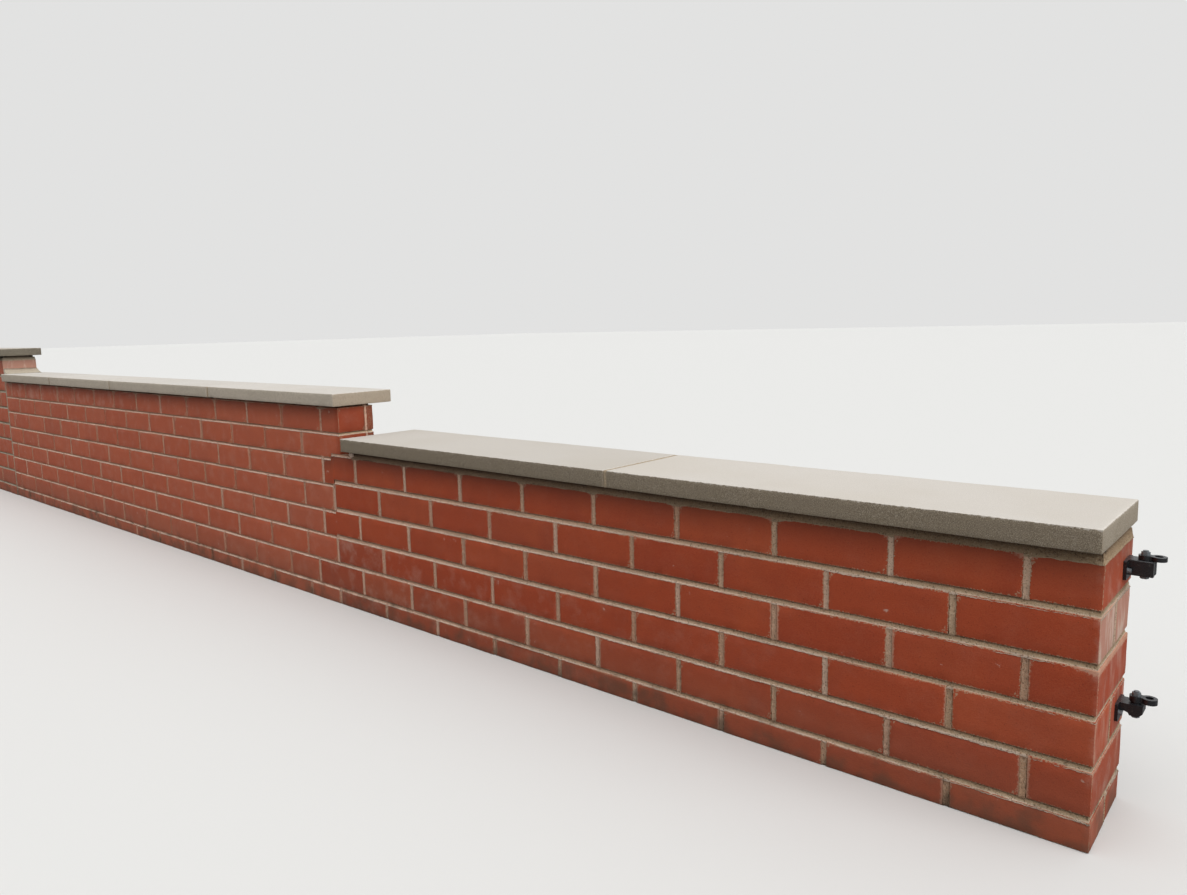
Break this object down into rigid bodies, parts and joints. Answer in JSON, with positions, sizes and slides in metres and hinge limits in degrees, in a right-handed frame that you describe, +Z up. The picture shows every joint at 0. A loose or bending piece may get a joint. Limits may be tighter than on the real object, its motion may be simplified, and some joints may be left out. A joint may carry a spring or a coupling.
{
  "type": "brick garden wall",
  "caption": "Low front garden wall of red brick stepping up in bays, topped with flat pale copings, with black gate hinge brackets on its squared end",
  "frame": {"origin": "centre of the overall box in plan, at the foot of the wall", "axes": "+X along the wall to its gate end, the street face looks to -Y, +Z up"},
  "size_m": [7.166, 0.27, 0.7795],
  "materials": {
    "brickwork": "smooth red facing brick, slightly weathered",
    "mortar": "rough sand and cement",
    "coping_stone": "fine sawn surface, light weathering",
    "black_iron": "black gloss paint, worn"
  },
  "bodies": {
    "root": {"lower_coping_1": "coping_stone", "lower_coping_2": "coping_stone", "lower_coping_bed": "mortar", "lower_coping_joint_1": "mortar", "lower_hinge_arm": "black_iron", "lower_hinge_bolt": "black_iron", "lower_hinge_bolt_1": "black_iron", "lower_hinge_bolt_2": "black_iron", "lower_hinge_nut": "black_iron", "lower_hinge_plate": "black_iron", "lower_hinge_strap": "black_iron", "lower_wall": "brickwork", "middle_coping_1": "coping_stone", "middle_coping_2": "coping_stone", "middle_coping_3": "coping_stone", "middle_coping_4": "coping_stone", "middle_coping_bed": "mortar", "middle_coping_joint_1": "mortar", "middle_coping_joint_2": "mortar", "middle_coping_joint_3": "mortar", "middle_wall": "brickwork", "upper_coping_1": "coping_stone", "upper_coping_2": "coping_stone", "upper_coping_bed": "mortar", "upper_coping_joint_1": "mortar", "upper_hinge_arm": "black_iron", "upper_hinge_bolt": "black_iron", "upper_hinge_bolt_1": "black_iron", "upper_hinge_bolt_2": "black_iron", "upper_hinge_nut": "black_iron", "upper_hinge_plate": "black_iron", "upper_hinge_strap": "black_iron", "upper_step_fillet": "mortar", "upper_wall": "brickwork"}
  },
  "joints": []
}
